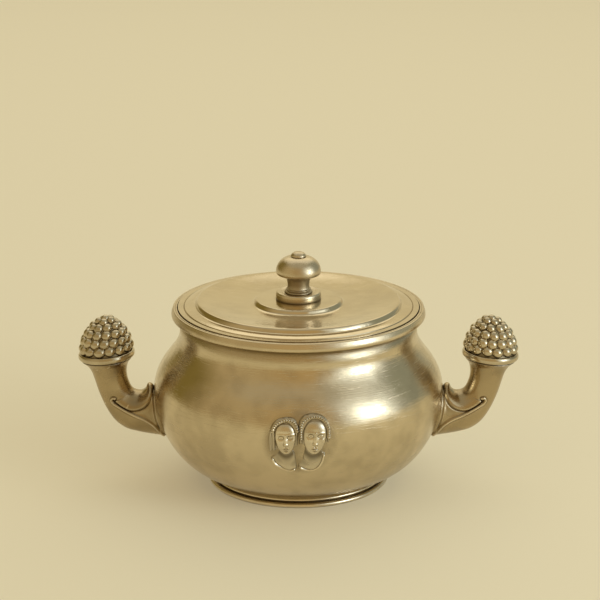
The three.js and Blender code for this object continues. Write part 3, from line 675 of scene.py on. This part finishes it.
def make_knob():
    base_z = BOSS_Z - JOINT_LAP
    bun = [
        (HOLE_R, base_z), (14.2, base_z),
        *bow((14.2, base_z), (14.5, base_z + 0.6), (KNOB_BASE_R, 123.2), (KNOB_BASE_R, 124.3), 8),
        *bow((KNOB_BASE_R, 124.3), (KNOB_BASE_R, 126.2), (14.1, KNOB_BASE_TOP_Z),
             (12.7, KNOB_BASE_TOP_Z), 9),
        *bow((12.7, KNOB_BASE_TOP_Z), (12.0, KNOB_BASE_TOP_Z), (11.0, BUN_DISH_Z + 0.1),
             (9.9, BUN_DISH_Z), 6),
        (HOLE_R, BUN_DISH_Z),
    ]
    spool_z = BUN_DISH_Z - JOINT_LAP
    ring_z = spool_z + 1.7
    spool = [
        (HOLE_R, spool_z), (COLLAR_R, spool_z),
        *bow((COLLAR_R, spool_z), (COLLAR_R + 0.6, spool_z + 0.3), (COLLAR_R + 0.5, spool_z + 1.2),
             (RING_R, ring_z - 0.1), 6),
        *bow((RING_R, ring_z), (RING_R + 0.5, ring_z + 0.1), (RING_R + 0.4, ring_z + 0.9),
             (RING_R - 0.4, ring_z + 1.1), 6),
        *bow((RING_R - 0.4, ring_z + 1.2), (WAIST_R, ring_z + 1.9), (WAIST_R, ring_z + 3.8),
             (WAIST_R + 0.3, ring_z + 5.2), 9),
        *bow((WAIST_R + 0.3, ring_z + 5.2), (WAIST_R + 0.6, ring_z + 7.2),
             (SPOOL_TOP_R - 0.3, SPOOL_TOP_Z - 1.6), (SPOOL_TOP_R + 0.7, SPOOL_TOP_Z), 8),
        (HOLE_R, SPOOL_TOP_Z),
    ]
    under = SPOOL_TOP_Z - JOINT_LAP
    widest = (CAP_R, CAP_WIDEST_Z)
    cap = [
        (HOLE_R, under), (SPOOL_TOP_R + 0.4, under), (12.6, under + 0.2),
        *bow((12.6, under + 0.2), (13.9, under + 0.3), (CAP_R - 0.1, under + 0.9), widest, 10),
        *bow(widest, (CAP_R, CAP_WIDEST_Z + 5.6), (9.8, CAP_TOP_Z - 0.4),
             (BUTTON_R + 0.2, CAP_TOP_Z), 20),
        (HOLE_R, CAP_TOP_Z),
    ]
    button_z = CAP_TOP_Z - JOINT_LAP
    screw = [
        (0, SHANK_END_Z), (SHANK_R - 0.3, SHANK_END_Z), (SHANK_R, SHANK_END_Z + 0.3),
        (SHANK_R, button_z), (BUTTON_R - 0.5, button_z),
        *bow((BUTTON_R - 0.5, button_z), (BUTTON_R + 0.3, button_z + 0.3),
             (BUTTON_R - 0.6, BUTTON_TOP_Z), (0, BUTTON_TOP_Z), 14),
    ]
    for name, node, profile, closed in (
        ("knob_bun", "knob_base", bun, True),
        ("knob_ringed_stem", "knob_spool", spool, True),
        ("knob_domed_cap", "knob_cap", cap, True),
        ("knob_button_screw", "knob_screw", screw, False),
    ):
        shape = eased(turned(profile, SMALL_STEPS, closed), 0.12, sharper_than=34)
        # The stem is painted darker all over: painted shade under the cap and a painted dark
        # reflection
        if node == "knob_spool":
            patinated_and_shaded(shape, [STEM_SHADE] * len(shape.verts))
        finished(shape, name, "lid", knob_pewter, [node], flat_faces=True)


def make_fastener():
    washer = [(HOLE_R, WASHER_Z[0]), (WASHER_R, WASHER_Z[0]), (WASHER_R, WASHER_Z[1]),
              (HOLE_R, WASHER_Z[1])]
    finished(eased(turned(washer, SMALL_STEPS), 0.15), "washer_under_lid", "lid",
             horn_pewter, ["knob_washer"], flat_faces=True)
    bm = bmesh.new()
    low = Matrix.Translation((0, 0, NUT_Z[0]))
    outer = bmesh.ops.create_circle(bm, segments=6, radius=NUT_R, matrix=low)["verts"]
    inner = bmesh.ops.create_circle(bm, segments=48, radius=HOLE_R, matrix=low)["verts"]
    rims = {edge for vert in outer + inner for edge in vert.link_edges}
    bmesh.ops.bridge_loops(bm, edges=list(rims))
    raised_faces = bmesh.ops.extrude_face_region(bm, geom=list(bm.faces))["geom"]
    tops = [item for item in raised_faces if isinstance(item, bmesh.types.BMVert)]
    bmesh.ops.translate(bm, vec=(0, 0, NUT_Z[1] - NUT_Z[0]), verts=tops)
    bmesh.ops.recalc_face_normals(bm, faces=bm.faces)
    finished(eased(bm, 0.2, sharper_than=40), "nut_under_lid", "lid",
             horn_pewter, ["knob_nut"], flat_faces=True)


# Handles

horn_top = smooth_line(HORN_TOP, 24)
horn_under = smooth_line(HORN_UNDER, 24)
hem_line = smooth_line(HEM_LINE)
ridge_line = smooth_line(RIDGE_LINE)
lobe_line = smooth_line(LOBE_LINE)
leaf_outline = np.concatenate([hem_line, ridge_line, [(78, 30), (78, 66)]])


def place_along(line, share):
    """The place at a share of the way along a line."""
    at = share * (len(line) - 1)
    i = min(int(at), len(line) - 2)
    return line[i] + (line[i + 1] - line[i]) * (at - i)


def horn_section(share, narrowing=1.0):
    """The matrix that lays a round of radius 1 across the horn, from its top to its underside."""
    top, under = place_along(horn_top, share), place_along(horn_under, share)
    middle, arm = (top + under) / 2, (under - top) / 2 * narrowing
    half = math.hypot(*arm)
    width = half * (HORN_WIDTH_SHARE + (1 - HORN_WIDTH_SHARE) * float(ramp(share, 0.6, 0.9)))
    turn = Matrix(((arm[0], 0, -arm[1]), (0, width, 0), (arm[1], 0, arm[0]))).to_4x4()
    return Matrix.Translation((middle[0], 0, middle[1])) @ turn


def lofted(sections, sides):
    """A tube that runs through rounds placed by matrices."""
    bm = bmesh.new()
    bmesh.ops.create_circle(bm, segments=sides, radius=1, matrix=sections[0])
    edges = list(bm.edges)
    for last, section in zip(sections, sections[1:]):
        ring = bmesh.ops.extrude_edge_only(bm, edges=edges)["geom"]
        verts = [item for item in ring if isinstance(item, bmesh.types.BMVert)]
        edges = [item for item in ring if isinstance(item, bmesh.types.BMEdge)
                 and item.is_boundary]
        bmesh.ops.transform(bm, matrix=section @ last.inverted(), verts=verts)
    return bm


def horn_tube():
    start = [horn_section(0, narrowing) for narrowing in HORN_START]
    rows = [horn_section(row / HORN_ROWS) for row in range(HORN_ROWS + 1)]
    bm = lofted(start + rows, HORN_SIDES)
    capped(bm)
    bmesh.ops.recalc_face_normals(bm, faces=bm.faces)
    return bm


def horn_lines(bm):
    """Side-view places of a tube's vertices, with their distances to the drawn lines."""
    places = np.array([(vert.co.x, vert.co.z) for vert in bm.verts])
    inside = within(places, leaf_outline)
    hem = near_line(places, hem_line)[0]
    ridge = near_line(places, ridge_line)[0]
    return places, inside, hem, ridge


def soldered_to_bowl(bm):
    """Brings what would reach through the bowl back into its wall."""
    for vert in bm.verts:
        wall = bowl_radius(vert.co.z) - SOLDER_DEPTH
        reach = math.hypot(vert.co.x, vert.co.y)
        if reach < wall:
            vert.co.x = math.sqrt(wall ** 2 - vert.co.y ** 2)


def make_horns():
    bm = horn_tube()
    bm.normal_update()
    places, inside, hem, ridge = horn_lines(bm)
    across = np.array([vert.co.y for vert in bm.verts])
    upward = np.array([max(vert.normal.z, 0) for vert in bm.verts])

    # Painted shade in the grooves beside the leaf, under the hem and beside the ridge
    crease_shade = 0.4 * soft(hem, 0.4) * ramp(places[:, 0], *CLEAR_X)
    crease_shade += np.where(inside, 0, 0.45 * soft(ridge - 1.2, 0.5))
    patinated_and_shaded(bm, np.clip(crease_shade, 0, 1))

    # A bed under the leaf, the rolled hem above it and the curled tip of the leaf on top
    bed = -LEAF_BED * np.where(inside, ramp(np.minimum(hem, ridge), 0.0, 0.45), 0)
    bed -= np.where(inside | (hem < ridge), 0, 0.35 * soft(ridge - 0.9, 0.45))
    above = np.where(inside, 0, np.where(hem < ridge, 1, 0))
    roll = HEM_ROLL * above * (1 - ramp(hem, HEM_ROLL_IN, 7)) * ramp(hem, -1, HEM_ROLL_IN)
    edge = -0.5 * above * soft(hem, 0.4)
    tip = TIP_RISE * upward ** 2 * hump(places[:, 0] - TIP_X, across, TIP_LENGTH, TIP_WIDTH)
    moved(bm, bed + roll + edge + np.where(inside, 0.3, 1) * tip)
    soldered_to_bowl(bm)
    lean = Matrix.Rotation(FINIAL_LEAN, 3, "Y") @ Vector((0, 0, 1))
    end = Vector(SEAT) + lean * HORN_CUT
    bmesh.ops.bisect_plane(bm, geom=[*bm.verts, *bm.edges, *bm.faces], plane_co=end,
                           plane_no=lean, clear_outer=True)
    capped(bm)
    on_both_sides(bm, "horn", horn_pewter, "handle_horn")


def make_leaves():
    bm = horn_tube()
    places, inside, hem, ridge = horn_lines(bm)
    lobe = near_line(places, lobe_line)[0]
    eye = np.hypot(*(places - VOLUTE_EYE).T)
    edge = np.minimum(hem, ridge)
    face = -LEAF_DEPTH - 0.45 * ramp(edge, 0.6, 3.5) * ramp(lobe, 0.3, 2.5)
    clear = ramp(places[:, 0], *CLEAR_X)
    face -= 0.6 * soft(hem, 0.8) * clear
    face -= LOBE_DEPTH * soft(lobe, 0.45)
    rib = bead(ridge, RIDGE_W / 2)
    face += RIDGE_RISE * rib - 1.3 * soft(eye, VOLUTE_EYE_R)
    # Painted shade in the lobe's groove, under the hem, in the volute's eye and beside the ridge,
    # none on the ridge itself
    crease_shades = 0.45 * soft(lobe, 0.4) + 0.5 * soft(hem, 0.45) * clear
    crease_shades += 0.6 * soft(eye, VOLUTE_EYE_R) + 0.35 * soft(ridge - 1.2, 0.5)
    patinated_and_shaded(bm, np.clip(crease_shades * (1 - rib), 0, 1))

    # Past its outline the sheet dives into the horn, and what lies deep there is cut away, as
    # are the tube's end caps and what would hang inside the bowl.
    outside = np.where(inside, 0, ramp(edge - np.where(ridge < hem, RIDGE_W / 2, 0), 0, 0.6))
    moved(bm, face - LEAF_DIVE * outside)
    hidden = {vert for vert, out in zip(bm.verts, outside) if out >= 1}
    waste = [each for each in bm.faces
             if len(each.verts) > 4 or all(vert in hidden for vert in each.verts)]
    bmesh.ops.delete(bm, geom=waste, context="FACES")
    waste = [each for each in bm.faces if all(
        math.hypot(vert.co.x, vert.co.y) < bowl_radius(vert.co.z) - 3 for vert in each.verts)]
    bmesh.ops.delete(bm, geom=waste, context="FACES")
    soldered_to_bowl(bm)
    for leaf in on_both_sides(bm, "leaf", horn_pewter, "leaf_sheath"):
        walled(leaf, LEAF_T)


def on_seat():
    return Matrix.Translation(SEAT) @ Matrix.Rotation(FINIAL_LEAN, 4, "Y")


def make_saucers():
    profile = [
        (STUD_HOLE_R, SAUCER_BASE), (14.6, SAUCER_BASE),
        *bow((14.6, SAUCER_BASE), (16.2, 4.0), (17.9, 4.4), (18.2, 5.3), 8),
        *bow((18.2, 5.3), (18.5, 5.9), (SAUCER_R + 0.1, 7.0), (18.1, 7.9), 7),
        *bow((18.1, 7.9), (17.9, 8.5), (17.5, SAUCER_TOP), (16.9, SAUCER_TOP), 5),
        (16.0, SAUCER_TOP - 0.4), (STUD_HOLE_R, SAUCER_TOP - 0.4),
    ]
    bm = eased(turned(profile, SMALL_STEPS), 0.2, sharper_than=34)
    bmesh.ops.transform(bm, matrix=on_seat(), verts=bm.verts)
    on_both_sides(bm, "finial_saucer", berry_pewter, "saucer", flat_faces=True)


def cluster_radius(height):
    """The cluster's outline, as a radius for a height over the saucer."""
    share = min(height / CLUSTER_H, 1)
    return CLUSTER_R * (1 - share ** CLUSTER_SHOULDER) ** CLUSTER_POINT


def make_finials():
    chance = random.Random(FINIAL_SEED)
    core = [(0, -0.5), (CLUSTER_R - 2.0, -0.5)]
    core += [(cluster_radius(height) - CORE_GAP, height)
             for height in (CLUSTER_H * step / 16 for step in range(14))]
    core += [(0, CLUSTER_H - 2.2)]
    bm = turned(core, 48, closed=False)
    for height, count, stagger in BERRY_ROWS:
        radius = cluster_radius(height)
        slope = math.atan2(cluster_radius(height - 1) - cluster_radius(height + 1), 2)
        room = math.tau * (radius - 1.8) / count
        for i in range(count):
            plump = room * BERRY_PLUMP / 2 * chance.uniform(0.94, 1.07)
            tall = min(plump, BERRY_TALL) * chance.uniform(0.95, 1.06)
            turn = (i + stagger + chance.uniform(-0.06, 0.06)) / count * math.tau
            spin = Matrix.Rotation(turn, 4, "Z")
            out = radius - plump * 0.86 * math.cos(slope) + chance.uniform(-0.3, 0.1)
            up = height - plump * 0.5 * math.sin(slope) + chance.uniform(-0.25, 0.25)
            place = spin @ Matrix.Translation((out, 0, up)) @ Matrix.Rotation(-slope, 4, "Y")
            size = Matrix.Diagonal((plump * 0.95, plump, tall, 1))
            bmesh.ops.create_icosphere(bm, subdivisions=3, radius=1, matrix=place @ size)
    top = Matrix.Translation((0, 0, CLUSTER_H - TOP_BERRY_DROP))
    size = Matrix.Diagonal((*TOP_BERRY, 1))
    bmesh.ops.create_icosphere(bm, subdivisions=3, radius=1, matrix=top @ size)
    # Painted shade in the gaps between the berries, darker the deeper a place lies below the
    # cluster's outline
    depths = [cluster_radius(max(vert.co.z, 0)) - math.hypot(vert.co.x, vert.co.y)
              for vert in bm.verts]
    patinated_and_shaded(bm, BERRY_GAP_SHADE * ramp(np.array(depths), *BERRY_GAP))
    bmesh.ops.translate(bm, vec=(0, 0, CLUSTER_BASE), verts=bm.verts)
    for vert in bm.verts:
        vert.co.x -= CLUSTER_SKEW * (vert.co.z - CLUSTER_BASE)
    bmesh.ops.transform(bm, matrix=on_seat(), verts=bm.verts)
    bmesh.ops.recalc_face_normals(bm, faces=bm.faces)
    on_both_sides(bm, "berries", berry_pewter, "berry_finial")


# Busts

def face_width(up):
    """Half the width of a face at a height, from the chin at -1 to the hairline at 1."""
    lower = np.clip((0.12 - up) / 1.12, 0, 1)
    upper = np.clip((up - 0.12) / 0.93, 0, 1)
    jaw = np.sqrt(np.clip(1 - lower ** 2.3, 0, 1)) * (1 - 0.16 * lower)
    return np.where(up < 0.12, jaw, np.sqrt(np.clip(1 - upper ** 2.5, 0, 1)))


def face_rise(across, up):
    """A calm, plain face, in halves of its width and height from its middle."""
    width = np.maximum(face_width(up), 1e-3)
    inside = (np.abs(across) < width) & (np.abs(up) < 1)
    share = np.clip(np.abs(across) / width, 0, 1)
    ends = np.clip(1 - np.abs(up) ** 3.2, 0, 1)
    rise = FACE_RISE * np.sqrt(np.clip(1 - share ** 2.6, 0, 1)) * ends ** 0.4
    turn = across - 0.05
    side = np.abs(turn)

    # Eyes and brows
    socket = hump(side - 0.40, up - 0.17, 0.25, 0.12)
    rise -= 0.95 * socket
    rise += 0.42 * hump(side - 0.42, up - 0.355 + 0.12 * (side - 0.4) ** 2, 0.34, 0.055)
    almond = 1 - ((side - 0.40) / 0.205) ** 2 - ((up - 0.17) / 0.085) ** 2
    ball = np.sqrt(np.clip(almond, 0, 1))
    rise += 0.62 * ball
    rise += 0.20 * soft(almond, 0.28) * (up > 0.165) * socket
    rise += 0.10 * soft(almond, 0.25) * (up <= 0.165) * socket
    rise -= 0.16 * hump(side - 0.40, up - 0.17, 0.055, 0.035)

    # Cheeks and forehead
    rise += 0.38 * hump(side - 0.60, up + 0.08, 0.22, 0.17)
    rise -= 0.22 * hump(side - 0.55, up + 0.42, 0.20, 0.20)
    rise += 0.30 * hump(turn, up - 0.62, 0.55, 0.22)

    # Nose
    down = np.clip((0.34 - up) / 0.62, 0, 1)
    back = (0.42 + 0.86 * down ** 1.3) * np.exp(-np.abs(turn / (0.085 + 0.075 * down)) ** 2.2)
    rise += back * ramp(up, -0.335, -0.285) * ramp(-up, -0.44, -0.30)
    rise += 0.50 * hump(side - 0.15, up + 0.255, 0.065, 0.055)
    rise -= 0.20 * hump(turn, up + 0.40, 0.05, 0.07)

    # Mouth and chin
    bow_line = -0.515 - 0.018 * np.cos(np.clip(turn / 0.28, -1, 1) * math.tau)
    rise += 0.40 * np.exp(-(turn / 0.27) ** 4) * soft(up - bow_line, 0.04)
    rise += 0.46 * np.exp(-(turn / 0.21) ** 4) * soft(up + 0.635, 0.048)
    rise -= 0.45 * np.exp(-(turn / 0.30) ** 4) * soft(up + 0.575, 0.018)
    rise -= 0.25 * hump(turn, up + 0.725, 0.22, 0.045)
    rise += 0.48 * hump(turn, up + 0.85, 0.22, 0.10)
    return np.where(inside, rise, NOWHERE)


def rope_rise(places, line, base):
    """A twisted cord laid along a line."""
    distance, along = near_line(places, line)
    twist = np.cos(math.tau * along / ROPE_PITCH + 2.4 * distance / ROPE_W)
    cord = base + (1.05 + 0.3 * twist) * bead(distance, ROPE_W)
    return np.where(distance < ROPE_W, cord, NOWHERE)


def bust_rise(places, bust):
    """Height of a bust over the belly, and how dark it is painted apart from its hollows, for
    stains and for painted shade.
    """
    (face_x, face_z), (half_w, half_h) = bust["face"], bust["half"]
    x, z = places[:, 0] - face_x, places[:, 1] - face_z
    cos, sin = math.cos(bust["lean"]), math.sin(bust["lean"])
    across, up = (x * cos - z * sin) / half_w, (x * sin + z * cos) / half_h
    face = face_rise(across, up)

    # Hair, in strands round the face
    around = np.hypot(across, up * 0.97)
    hair = smooth_line(bust["hair"])
    in_hair = within(places, hair)
    edge = near_line(places, np.concatenate([hair, hair[:1]]))[0]
    swell = EDGE_SINK + 2.2 * bead(np.clip(HAIR_ROUND - edge, 0, HAIR_ROUND), HAIR_ROUND)
    swell += STRAND_RISE * np.cos(math.tau * around * half_w / STRAND_PITCH)
    swell = np.minimum(swell, 1.6 - 0.9 * ramp(-around, -1.14, -1.03))
    rise = np.where(in_hair, swell, NOWHERE)

    # Neck and shoulders, inside a rolled collar
    collar = smooth_line(bust["collar"])
    plate = np.concatenate([collar, bust["nape"]])
    edge = near_line(places, np.concatenate([plate, plate[:1]]))[0]
    lip, at = near_line(places, collar)
    neck = EDGE_SINK + 1.4 * bead(np.clip(1.8 - edge, 0, 1.8), 1.8)
    neck += 1.1 * soft(across, 0.62) * ramp(-up, 0.4, 0.9)
    neck -= 0.7 * ramp(lip, 0.8, 3.6) * ramp(-lip, -9, -4)
    neck -= 0.7 * soft(np.hypot(across, up) - 1.04, 0.16)
    in_plate = within(places, plate)
    rise = np.maximum(rise, np.where(in_plate, neck, NOWHERE))

    ends = ramp(np.minimum(at, at.max() - at), -0.5, 2.0)
    roll = EDGE_SINK + 2.5 * bead(lip, LIP_W) * ends
    rise = np.maximum(rise, np.where(lip < LIP_W, roll, NOWHERE))

    # Twisted cord and loose locks
    rope = rope_rise(places, smooth_line(bust["rope"]), 0.9)
    rise = np.maximum(rise, rope)
    for lock in bust["locks"]:
        distance = near_line(places, smooth_line(lock))[0]
        strand = 0.6 + 1.4 * bead(distance, LOCK_W)
        rise = np.maximum(rise, np.where(distance < LOCK_W, strand, NOWHERE))

    # Darker hair, for stains and the painted shade of its recess; painted shade under the chin and
    # on the neck; and on all that lies low, painted shade that rounds the relief, partly oxide
    darkening = np.where(in_hair & (rope < rise) & (face < rise), HAIR_STAIN_AND_SHADE, 0)
    chin_shadow = 0.6 * soft(np.hypot(across, up) - 1.08, 0.22)
    darkening = np.where(in_plate & (face < rise) & (lip > LIP_W), NECK_STAIN_AND_SHADE + chin_shadow, darkening)
    rise = np.maximum(np.maximum(rise, face), BUST_SINK)
    return rise, np.maximum(darkening, LOW_OXIDE_AND_SHADE * ramp(-rise, -2.1, -0.2))


def hollowness(places, rises, box, spreads, full):
    """How far each place of a relief lies below the relief around it, from 0 to 1."""
    i, j = np.rint((places - (box[0], box[2])) / BUST_CELL).astype(int).T
    sheet = np.zeros((i.max() + 1, j.max() + 1))
    sheet[i, j] = np.maximum(rises, -0.2)
    around = sheet.copy()
    for _ in range(spreads):
        for axis in (0, 1):
            around = (np.roll(around, 1, axis) + 2 * around + np.roll(around, -1, axis)) / 4
    return ramp((around - sheet)[i, j], 0.0, full)


def make_bust(name, bust, node):
    low_x, high_x, low_z, high_z = bust["box"]
    columns, rows = round((high_x - low_x) / BUST_CELL), round((high_z - low_z) / BUST_CELL)
    bm = bmesh.new()
    bmesh.ops.create_grid(bm, x_segments=columns, y_segments=rows, size=0.5)
    upright = Matrix.Rotation(math.pi / 2, 4, "X")
    size = Matrix.Diagonal((high_x - low_x, high_z - low_z, 1, 1))
    middle = Matrix.Translation(((low_x + high_x) / 2, 0, (low_z + high_z) / 2))
    bmesh.ops.transform(bm, matrix=middle @ upright @ size, verts=bm.verts)
    places = np.array([(vert.co.x, vert.co.z) for vert in bm.verts])
    rises, darkening = bust_rise(places, bust)
    # Painted shade in the relief's hollows, looked for at two widths
    for spreads, full in HOLLOW_SHADES:
        darkening = np.maximum(darkening, hollowness(places, rises, bust["box"], spreads, full))
    patinated_and_shaded(bm, np.minimum(darkening, MOST_DARKENING))
    for vert in bm.verts:
        radius = bowl_radius(vert.co.z)
        vert.co.y = -math.sqrt(radius ** 2 - vert.co.x ** 2)
    bmesh.ops.recalc_face_normals(bm, faces=bm.faces)
    bm.normal_update()
    if next(iter(bm.faces)).normal.y > 0:
        bmesh.ops.reverse_faces(bm, faces=bm.faces)
    moved(bm, rises)
    sunk = {vert for vert, rise in zip(bm.verts, rises) if rise <= BUST_SINK}
    loose = [each for each in bm.faces if all(vert in sunk for vert in each.verts)]
    bmesh.ops.delete(bm, geom=loose, context="FACES")
    piece = finished(bm, name, "pot", relief_pewter, [node])
    walled(piece, BUST_T)


make_bowl()
make_rim()
make_foot()
make_lid_plate()
make_flange()
make_knob()
make_fastener()
make_horns()
make_leaves()
make_saucers()
make_finials()
for side in ("right", "left"):
    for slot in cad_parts[f"{side}_finial_stud"].material_slots:
        slot.material = horn_pewter
make_bust("left_bust", LEFT_BUST, "left_bust_relief")
make_bust("right_bust", RIGHT_BUST, "right_bust_relief")


# Floor, light and camera

CREAM = (0.745, 0.683, 0.50)
FLOOR_HALF = 8
FLOOR_GLOW = 0.27
ROOM_BACK = (0.78, 0.68, 0.43)
ROOM_LEFT = (0.24, 0.18, 0.05)
ROOM_FRONT_LEFT = (0.54, 0.43, 0.24)
ROOM_FRONT = (0.56, 0.41, 0.20)
ROOM_FRONT_RIGHT = (0.50, 0.48, 0.37)
ROOM_RIGHT = (0.34, 0.36, 0.29)
ROOM_TOP = (0.50, 0.46, 0.35)
WALLS = [(-180, ROOM_BACK), (-160, ROOM_BACK), (-142, ROOM_LEFT), (-108, ROOM_LEFT),
         (-76, ROOM_FRONT_LEFT), (-40, ROOM_FRONT_LEFT), (-12, ROOM_FRONT), (18, ROOM_FRONT),
         (40, ROOM_FRONT_RIGHT), (72, ROOM_FRONT_RIGHT), (98, ROOM_RIGHT), (136, ROOM_RIGHT),
         (158, ROOM_BACK), (180, ROOM_BACK)]  # from the front, in degrees towards the right
LAMP_AIM = Vector((0, 0, 0.08))
CAMERA_PLACE = Vector((0.0, -1.3898, 0.5419))
CAMERA_AIM = Vector((0.001, 0, 0.1208))
CAMERA_LENS = 135


def lay_floor():
    """A plain pale floor, as pale in the metal as it is to the camera."""
    bm = bmesh.new()
    bmesh.ops.create_grid(bm, x_segments=1, y_segments=1, size=FLOOR_HALF)
    mesh = bpy.data.meshes.new("floor")
    bm.to_mesh(mesh)
    bm.free()
    paint = bpy.data.materials.new("cream floor paint")
    paint.use_nodes = True
    tree = paint.node_tree
    shader = tree.nodes["Principled BSDF"]
    shader.inputs["Base Color"].default_value = (*CREAM, 1)
    shader.inputs["Roughness"].default_value = 0.9
    shader.inputs["Specular IOR Level"].default_value = 0.1
    shader.inputs["Emission Color"].default_value = (*CREAM, 1)
    ray = shader_node(tree, "LightPath")
    seen = maths(tree, "MAXIMUM", ray.outputs["Is Camera Ray"], ray.outputs["Is Glossy Ray"])
    tree.links.new(maths(tree, "MULTIPLY", seen, FLOOR_GLOW), shader.inputs["Emission Strength"])
    mesh.materials.append(paint)
    floor = bpy.data.objects.new("floor", mesh)
    bpy.context.collection.objects.link(floor)


def paint_room():
    """A plain room round the urn: its walls' colours by direction, and its ceiling."""
    world = bpy.data.worlds.new("studio")
    world.use_nodes = True
    bpy.context.scene.world = world
    tree = world.node_tree
    way = shader_node(tree, "SeparateXYZ", None,
                      {0: shader_node(tree, "TexCoord").outputs["Generated"]})
    backward = maths(tree, "MULTIPLY", way.outputs["Y"], -1.0)
    turn = maths(tree, "ARCTAN2", way.outputs["X"], backward)
    walls = shader_node(tree, "ValToRGB", None,
                        {0: maths(tree, "MULTIPLY_ADD", turn, 1 / math.tau, 0.5)})
    stops = walls.color_ramp.elements
    stops.remove(stops[1])
    stops[0].color = (*WALLS[0][1], 1)
    for azimuth, colour in WALLS[1:]:
        stops.new(azimuth / 360 + 0.5).color = (*colour, 1)
    overhead = spread(tree, way.outputs["Z"], 0.6, 0.95)
    room = shader_node(tree, "Mix", {"data_type": "RGBA"},
                       {"Factor": overhead, "A": walls.outputs["Color"], "B": (*ROOM_TOP, 1)})
    tree.links.new(room.outputs["Result"], tree.nodes["Background"].inputs["Color"])


def softbox(name, azimuth, elevation, distance, width, height, power, colour):
    """A soft lamp that faces the urn. Azimuth 0 is the front, and it grows to the right."""
    side, rise = math.radians(azimuth), math.radians(elevation)
    lamp = bpy.data.lights.new(name, "AREA")
    lamp.shape = "RECTANGLE"
    lamp.size, lamp.size_y = width, height
    lamp.energy = power
    lamp.color = colour
    piece = bpy.data.objects.new(name, lamp)
    way = Vector((math.sin(side) * math.cos(rise), -math.cos(side) * math.cos(rise),
                  math.sin(rise)))
    piece.location = LAMP_AIM + way * distance
    piece.rotation_euler = way.to_track_quat("Z", "Y").to_euler()
    piece.visible_camera = False
    bpy.context.collection.objects.link(piece)


def set_camera():
    lens = bpy.data.cameras.new("camera")
    lens.lens = CAMERA_LENS
    lens.sensor_width = 36
    camera = bpy.data.objects.new("camera", lens)
    camera.location = CAMERA_PLACE
    camera.rotation_euler = (CAMERA_PLACE - CAMERA_AIM).to_track_quat("Z", "Y").to_euler()
    bpy.context.collection.objects.link(camera)
    bpy.context.scene.camera = camera


lay_floor()
paint_room()
softbox("window", 60, 15, 1.8, 0.52, 0.5, 3.6, (0.94, 0.98, 1.0))
softbox("window middle", 60, 17, 2.0, 1.2, 1.4, 4.5, (0.78, 0.89, 1.0))
softbox("window glow", 60, 18, 2.2, 2.1, 2.7, 8, (0.78, 0.89, 1.0))
softbox("backdrop lamp", 178, 55, 2.4, 3.0, 2.2, 10, (1.0, 0.97, 0.9))
set_camera()
bpy.context.scene.view_settings.view_transform = "Standard"
